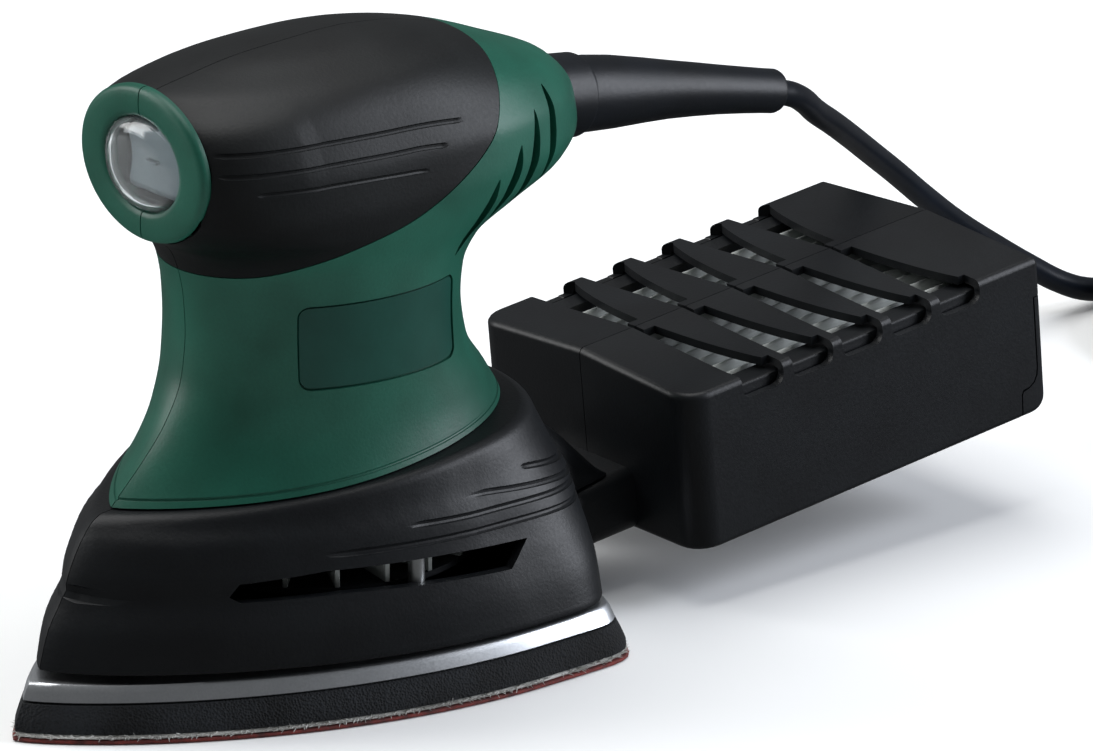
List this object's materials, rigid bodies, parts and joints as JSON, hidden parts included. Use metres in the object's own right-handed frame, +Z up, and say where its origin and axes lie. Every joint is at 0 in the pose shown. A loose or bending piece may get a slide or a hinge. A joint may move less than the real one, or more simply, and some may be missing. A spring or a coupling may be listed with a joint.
{
  "type": "detail sander",
  "caption": "Palm-size delta sander on a flared body, with an orbiting pad, front rocker switch, clip-on filter cassette and mains cord.",
  "frame": {"origin": "on the motor axis, on the bottom face of the abrasive sheet", "axes": "+Z up along the motor axis, -Y towards the nose of the pad, +X towards the sander's left side"},
  "size_m": [0.1179, 0.4765, 0.1514],
  "materials": {
    "abrasive": "bonded red abrasive grain on a paper back",
    "hook_fibre": "white hook-and-loop fibre",
    "foam": "fine closed-cell foam",
    "bright_aluminium": "satin die casting",
    "bearing_steel": "ground",
    "rubber": "moulded matt",
    "cast_weight": "as sintered",
    "fan_nylon": "glass-filled, natural",
    "iron_sheet": "stacked laminations",
    "copper_wire": "enamelled copper",
    "black_nylon": "fine spark-eroded texture",
    "carbon": "pressed carbon",
    "brass": "stamped",
    "clear_silicone": "clear, polished",
    "switch_nylon": "satin",
    "soft_grip": "soft overmoulded elastomer, matt",
    "green_nylon": "fine texture, satin",
    "filter_paper": "pleated filter paper",
    "cord_rubber": "smooth, slightly glossy",
    "plated_pin": "nickel plated",
    "zinc_screw": "zinc plated"
  },
  "bodies": {
    "housing": {"housing_left": "green_nylon", "housing_right": "green_nylon", "grip_left": "soft_grip", "grip_right": "soft_grip", "skirt_left": "black_nylon", "skirt_right": "black_nylon", "fan_cover": "black_nylon", "exhaust_spigot": "black_nylon", "stator_core": "iron_sheet", "field_coil_front": "copper_wire", "field_coil_rear": "copper_wire", "motor_shield": "black_nylon", "lower_bearing": "bearing_steel", "upper_bearing_bridge": "black_nylon", "upper_bearing": "bearing_steel", "brush_left": "carbon", "brush_right": "carbon", "brush_holder_left": "brass", "brush_holder_right": "brass", "switch_boot": "clear_silicone", "switch_body": "switch_nylon", "suppression_capacitor": "fan_nylon", "strain_relief": "rubber", "cord_clamp": "black_nylon", "cord": "cord_rubber", "cord_coil": "cord_rubber", "coil_tie": "rubber", "cord_tail": "cord_rubber", "plug_body": "rubber", "plug_pin_left": "plated_pin", "plug_pin_right": "plated_pin", "housing_screw_nose": "zinc_screw", "housing_screw_rear": "zinc_screw", "housing_screw_lower_front": "zinc_screw", "housing_screw_lower_rear": "zinc_screw"},
    "rotor": {"motor_shaft": "bearing_steel", "eccentric": "bearing_steel", "counterweight": "cast_weight", "fan": "fan_nylon", "armature_core": "iron_sheet", "winding_lower": "copper_wire", "winding_upper": "copper_wire", "commutator": "copper_wire"},
    "pad": {"sanding_sheet": "abrasive", "hook_layer": "hook_fibre", "foam_pad": "foam", "pad_plate": "bright_aluminium", "pad_bearing": "bearing_steel", "pad_leg_front_left": "rubber", "pad_leg_front_right": "rubber", "pad_leg_rear_left": "rubber", "pad_leg_rear_right": "rubber"},
    "rocker": {"switch_rocker": "switch_nylon"},
    "cassette": {"cassette_left": "black_nylon", "cassette_right": "black_nylon", "filter_pleats": "filter_paper", "filter_frame": "black_nylon", "cassette_duct": "black_nylon"},
    "flap": {"cassette_flap": "black_nylon"}
  },
  "joints": [
    {"name": "motor_spin", "type": "hinge", "parent": "housing", "child": "rotor", "pos_m": [0, 0, 0.06], "axis": [0, 0, 1], "continuous": true},
    {"name": "pad_orbit", "type": "hinge", "parent": "rotor", "child": "pad", "pos_m": [0.0007, 0, 0.0176], "axis": [0, 0, 1], "continuous": true},
    {"name": "switch_rocker", "type": "hinge", "parent": "housing", "child": "rocker", "pos_m": [0, -0.038, 0.1285], "axis": [1, 0, 0], "range_deg": [0, 10]},
    {"name": "cassette_slide", "type": "slide", "parent": "housing", "child": "cassette", "axis": [0, 0.9951, 0.0993], "range_m": [0, 0.012]},
    {"name": "cassette_flap", "type": "hinge", "parent": "cassette", "child": "flap", "pos_m": [0, 0.18726, 0.02612], "axis": [-1, 0, 0], "range_deg": [0, 85]}
  ],
  "couplings": [
    {"joint": "pad_orbit", "follows": "motor_spin", "ratio": -1}
  ]
}
